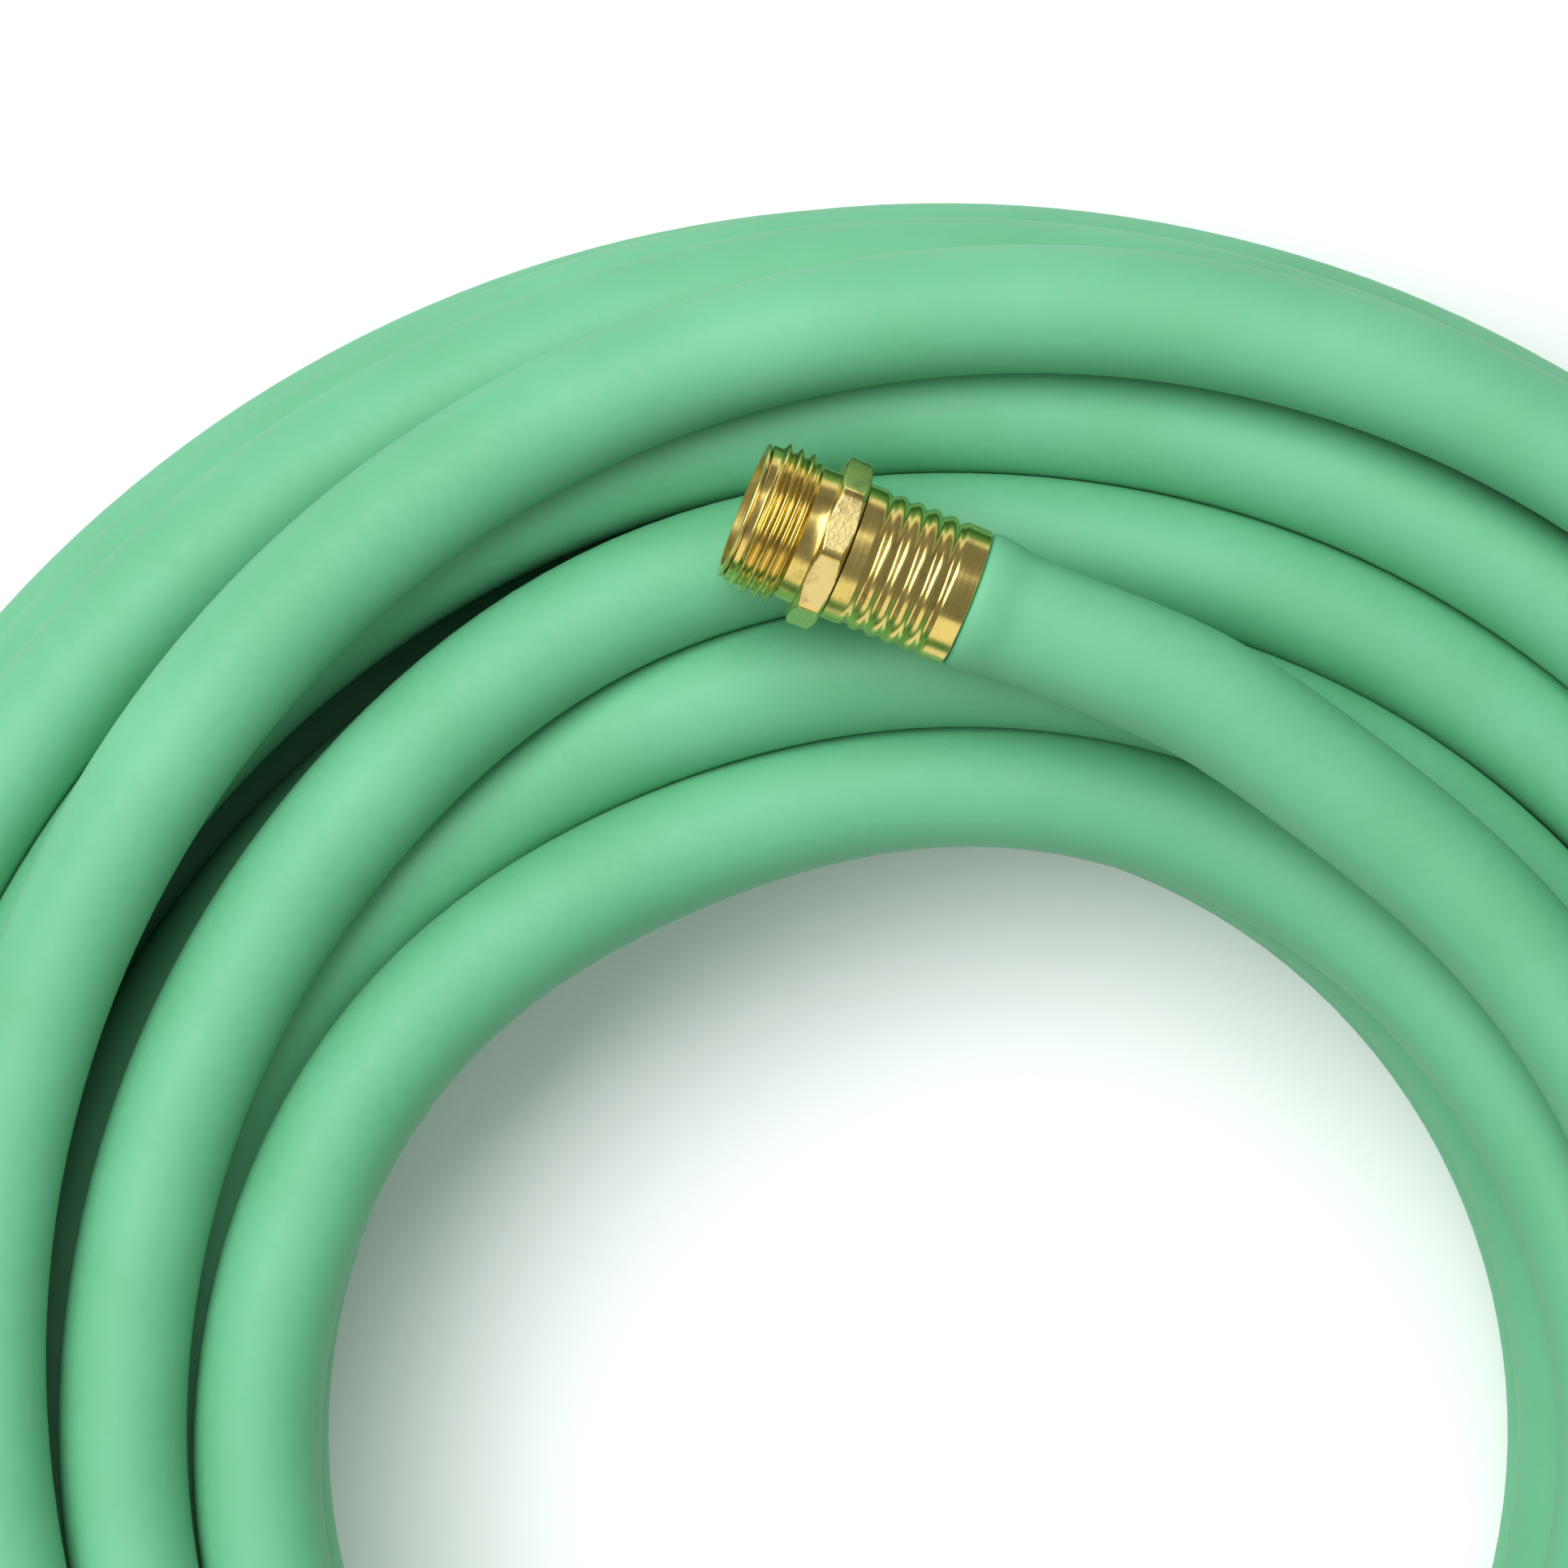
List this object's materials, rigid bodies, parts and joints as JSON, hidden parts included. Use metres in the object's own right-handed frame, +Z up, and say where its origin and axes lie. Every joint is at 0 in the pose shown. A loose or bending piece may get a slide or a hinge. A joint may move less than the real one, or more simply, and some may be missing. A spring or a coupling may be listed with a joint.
{
  "type": "coiled garden hose",
  "caption": "Smooth green garden hose wound in a loose round coil, with a brass male end on top and a brass female swivel end at its foot.",
  "frame": {"origin": "on the floor, under the middle of the whole part's box", "axes": "+Z up out of the floor; +Y away from the female end, to the side of the coil where the male end lies; +X to the right seen from the female end"},
  "size_m": [0.44, 0.4725, 0.1073],
  "materials": {
    "hose_wall": "smooth flexible vinyl, mint green, soft sheen",
    "brass_male": "machined brass, bright, thread crests polished, collar flats lightly tumbled",
    "brass_sleeve": "thin drawn brass tube, bright",
    "brass_ferrule": "thin brass shell, rolled ribs, bright",
    "brass_nut": "machined brass, bright",
    "washer_rubber": "black rubber, matt"
  },
  "bodies": {
    "hose": {"male_coupling": "brass_male", "male_insert": "brass_sleeve", "male_ferrule": "brass_ferrule", "hose_end_male": "hose_wall", "hose_tail_male": "hose_wall", "hose_coil": "hose_wall", "hose_tail_female": "hose_wall", "hose_end_female": "hose_wall", "female_ferrule": "brass_ferrule", "female_tailpiece": "brass_sleeve"},
    "nut": {"swivel_nut": "brass_nut", "hose_washer": "washer_rubber"}
  },
  "joints": [
    {"name": "nut_swivel", "type": "hinge", "parent": "hose", "child": "nut", "pos_m": [-0.0404, -0.2205, 0.01738], "axis": [1, 0, 0], "continuous": true}
  ]
}
